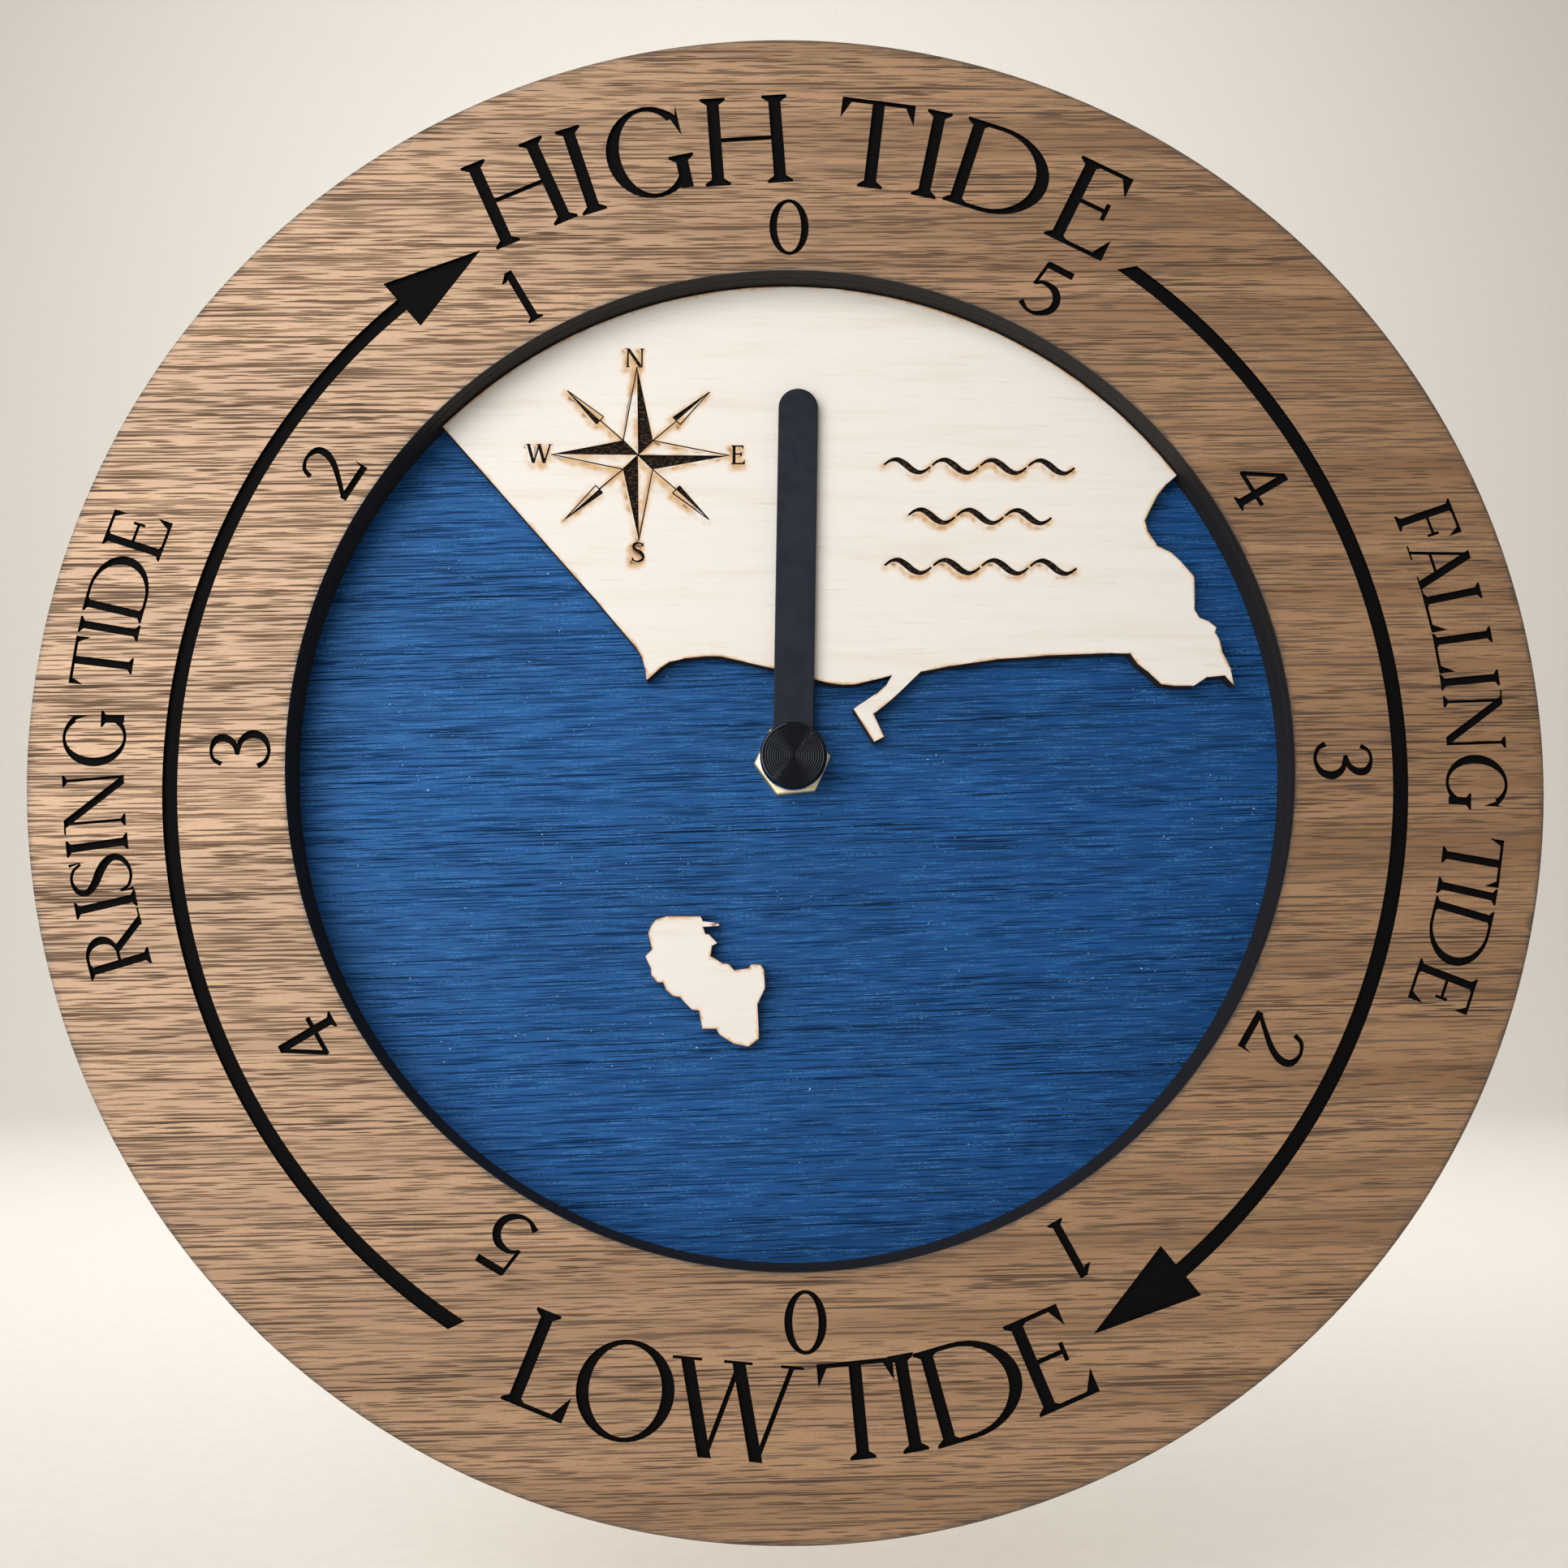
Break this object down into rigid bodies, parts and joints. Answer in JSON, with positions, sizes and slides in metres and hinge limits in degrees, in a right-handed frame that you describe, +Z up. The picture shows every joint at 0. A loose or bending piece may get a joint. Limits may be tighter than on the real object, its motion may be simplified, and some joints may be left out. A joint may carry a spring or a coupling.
{
  "type": "tide clock",
  "caption": "Round wall tide clock: layered plywood dial with map overlays, one hand turning once per tide cycle, battery quartz movement with a hanger eye.",
  "frame": {"origin": "axis of the hanger eye, on the wall plane that the movement's back rests on", "axes": "+X to the right as seen from the front, +Y into the wall, +Z up; the dial faces -Y"},
  "size_m": [0.24, 0.0295, 0.24],
  "materials": {
    "stained_ply": "open-grained stained plywood face, engraved lines painted black",
    "black_ply": "blackened plywood",
    "blue_ply": "brushed matt blue paint on plywood",
    "white_ply": "white-washed birch plywood with scorched cut edges",
    "black_aluminium": "satin black anodised",
    "brass": "bright turned brass",
    "rubber": "matt",
    "black_abs": "spark-textured moulding",
    "white_pom": "moulded",
    "steel": "plain",
    "magnet": "sintered, ground",
    "lamination": "punched sheet",
    "green_nylon": "moulded",
    "copper_wire": "enamelled winding",
    "board": "phenolic laminate",
    "epoxy": "cast blob",
    "nickel": "nickel-plated sheet",
    "cell_jacket": "shrink sleeve and bare steel ends"
  },
  "bodies": {
    "dial": {"front_ring": "stained_ply", "spacer_ring": "black_ply", "back_disc": "blue_ply", "land_overlay": "white_ply", "island_overlay": "white_ply", "rubber_washer": "rubber", "mount_bush": "brass", "hex_nut": "brass", "case_front": "black_abs", "case_rear": "black_abs", "train_plate": "white_pom", "stator": "lamination", "coil_core": "lamination", "coil_bobbin": "green_nylon", "coil_winding": "copper_wire", "circuit_board": "board", "chip_blob": "epoxy", "crystal_can": "nickel", "contact_positive": "nickel", "contact_negative": "nickel"},
    "hand": {"tide_hand": "black_aluminium", "hand_collet": "brass", "tide_wheel": "white_pom"},
    "center": {"center_arbor": "brass", "hand_cap": "black_aluminium"},
    "minute": {"minute_wheel": "white_pom"},
    "setting": {"set_arbor": "white_pom", "set_knob": "black_abs"},
    "center_gear": {"center_wheel": "white_pom"},
    "third": {"third_wheel": "white_pom"},
    "second": {"second_wheel": "white_pom"},
    "fifth": {"fifth_wheel": "white_pom"},
    "rotor": {"rotor_pinion": "white_pom", "rotor_magnet": "magnet"},
    "cell": {"battery_cell": "cell_jacket"}
  },
  "joints": [
    {"name": "hand_turn", "type": "hinge", "parent": "dial", "child": "hand", "pos_m": [0, 0, -0.03336], "axis": [0, 1, 0], "continuous": true},
    {"name": "center_turn", "type": "hinge", "parent": "dial", "child": "center", "pos_m": [0, 0, -0.03336], "axis": [0, 1, 0], "continuous": true},
    {"name": "minute_turn", "type": "hinge", "parent": "dial", "child": "minute", "pos_m": [0.00725, 0, -0.03674], "axis": [0, 1, 0], "continuous": true},
    {"name": "set_turn", "type": "hinge", "parent": "dial", "child": "setting", "pos_m": [0.01125, 0, -0.02981], "axis": [0, 1, 0], "continuous": true},
    {"name": "second_turn", "type": "hinge", "parent": "dial", "child": "second", "pos_m": [-0.00034, 0, -0.01616], "axis": [0, 1, 0], "continuous": true},
    {"name": "third_turn", "type": "hinge", "parent": "dial", "child": "third", "pos_m": [-0.00619, 0, -0.02452], "axis": [0, 1, 0], "continuous": true},
    {"name": "center_wheel_turn", "type": "hinge", "parent": "dial", "child": "center_gear", "pos_m": [0, 0, -0.03336], "axis": [0, 1, 0], "continuous": true},
    {"name": "fifth_turn", "type": "hinge", "parent": "dial", "child": "fifth", "pos_m": [0.00802, 0, -0.01689], "axis": [0, 1, 0], "continuous": true},
    {"name": "rotor_turn", "type": "hinge", "parent": "dial", "child": "rotor", "pos_m": [0.01511, 0, -0.01814], "axis": [0, 1, 0], "continuous": true},
    {"name": "cell_lift", "type": "slide", "parent": "dial", "child": "cell", "axis": [0, 1, 0], "range_m": [0, 0.02]}
  ],
  "couplings": [
    {"joint": "center_turn", "follows": "hand_turn", "ratio": 12},
    {"joint": "minute_turn", "follows": "hand_turn", "ratio": -4},
    {"joint": "set_turn", "follows": "hand_turn", "ratio": 12},
    {"joint": "third_turn", "follows": "second_turn", "ratio": -0.13333},
    {"joint": "center_wheel_turn", "follows": "second_turn", "ratio": 0.016667},
    {"joint": "fifth_turn", "follows": "second_turn", "ratio": -6},
    {"joint": "rotor_turn", "follows": "second_turn", "ratio": 30}
  ]
}
